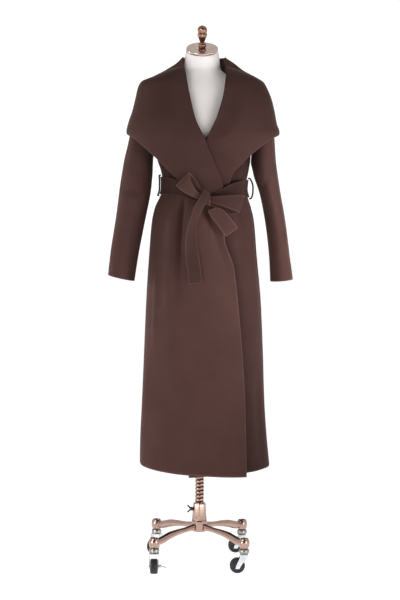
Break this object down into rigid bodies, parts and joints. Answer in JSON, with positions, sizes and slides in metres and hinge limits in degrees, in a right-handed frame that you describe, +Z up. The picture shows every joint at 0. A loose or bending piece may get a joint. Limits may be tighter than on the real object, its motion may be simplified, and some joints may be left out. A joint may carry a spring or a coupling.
{
  "type": "wrap overcoat on a dress form with a castor stand",
  "caption": "Long wool wrap coat with a wide draped shawl collar and a tied belt, shown on a limbless dress form on a rolling stand that adjusts in height.",
  "frame": {"origin": "on the floor, on the axis of the stand's post", "axes": "+Z up along the post, -Y towards the coat's front, +X towards the wearer's left"},
  "size_m": [0.5588, 0.3523, 1.633],
  "materials": {
    "wool": "matte",
    "jersey": "matte",
    "rose_metal": "polished",
    "copper": "gloss",
    "dark_steel": "satin",
    "zinc": "satin",
    "rubber": "matte"
  },
  "bodies": {
    "stand": {"column": "copper", "leg_front_right": "copper", "leg_front_left": "copper", "leg_back_right": "copper", "leg_back_left": "copper", "castor_mount_front_right": "zinc", "castor_mount_front_left": "zinc", "castor_mount_back_right": "zinc", "castor_mount_back_left": "zinc"},
    "mast": {"post": "copper"},
    "figure": {"form_torso": "jersey", "neck_cap": "rose_metal", "neck_finial": "copper", "back_right": "wool", "back_left": "wool", "front_right": "wool", "front_left": "wool", "lapel_right": "wool", "lapel_left": "wool", "collar": "wool", "sleeve_right": "wool", "sleeve_left": "wool", "belt_band": "wool", "belt_knot": "wool", "bow_loop_right": "wool", "bow_loop_left": "wool", "belt_tail_right": "wool", "belt_tail_left": "wool", "belt_carrier_right": "wool", "belt_carrier_left": "wool"},
    "clamp": {"clamp_bolt": "dark_steel"},
    "brake": {"brake_lever": "zinc"},
    "fork_front_right": {"castor_fork_front_right": "zinc"},
    "wheel_front_right": {"castor_wheel_front_right": "rubber"},
    "fork_front_left": {"castor_fork_front_left": "zinc"},
    "wheel_front_left": {"castor_wheel_front_left": "rubber"},
    "fork_back_right": {"castor_fork_back_right": "zinc"},
    "wheel_back_right": {"castor_wheel_back_right": "rubber"},
    "fork_back_left": {"castor_fork_back_left": "zinc"},
    "wheel_back_left": {"castor_wheel_back_left": "rubber"}
  },
  "joints": [
    {"name": "height_slide", "type": "slide", "parent": "stand", "child": "mast", "axis": [0, 0, 1], "range_m": [-0.06, 0.05]},
    {"name": "form_turn", "type": "hinge", "parent": "mast", "child": "figure", "pos_m": [0, 0, 0.82], "axis": [0, 0, 1], "continuous": true},
    {"name": "clamp_turn", "type": "hinge", "parent": "stand", "child": "clamp", "pos_m": [-0.025, 0, 0.166], "axis": [-1, 0, 0], "continuous": true},
    {"name": "swivel_front_right", "type": "hinge", "parent": "stand", "child": "fork_front_right", "pos_m": [-0.1345, -0.1345, 0.057], "axis": [0, 0, 1], "continuous": true},
    {"name": "wheel_spin_front_right", "type": "hinge", "parent": "fork_front_right", "child": "wheel_front_right", "pos_m": [-0.1345, -0.1545, 0.02305], "axis": [1, 0, 0], "continuous": true},
    {"name": "brake_swing", "type": "hinge", "parent": "fork_front_right", "child": "brake", "pos_m": [-0.1345, -0.1545, 0.02305], "axis": [1, 0, 0], "range_deg": [-20, 20]},
    {"name": "swivel_front_left", "type": "hinge", "parent": "stand", "child": "fork_front_left", "pos_m": [0.1345, -0.1345, 0.057], "axis": [0, 0, 1], "continuous": true},
    {"name": "wheel_spin_front_left", "type": "hinge", "parent": "fork_front_left", "child": "wheel_front_left", "pos_m": [0.1145, -0.1345, 0.02305], "axis": [0, -1, 0], "continuous": true},
    {"name": "swivel_back_right", "type": "hinge", "parent": "stand", "child": "fork_back_right", "pos_m": [-0.1345, 0.1345, 0.057], "axis": [0, 0, 1], "continuous": true},
    {"name": "wheel_spin_back_right", "type": "hinge", "parent": "fork_back_right", "child": "wheel_back_right", "pos_m": [-0.1445, 0.11718, 0.02305], "axis": [0.866, -0.5, 0], "continuous": true},
    {"name": "swivel_back_left", "type": "hinge", "parent": "stand", "child": "fork_back_left", "pos_m": [0.1345, 0.1345, 0.057], "axis": [0, 0, 1], "continuous": true},
    {"name": "wheel_spin_back_left", "type": "hinge", "parent": "fork_back_left", "child": "wheel_back_left", "pos_m": [0.1145, 0.1345, 0.02305], "axis": [0, -1, 0], "continuous": true}
  ]
}
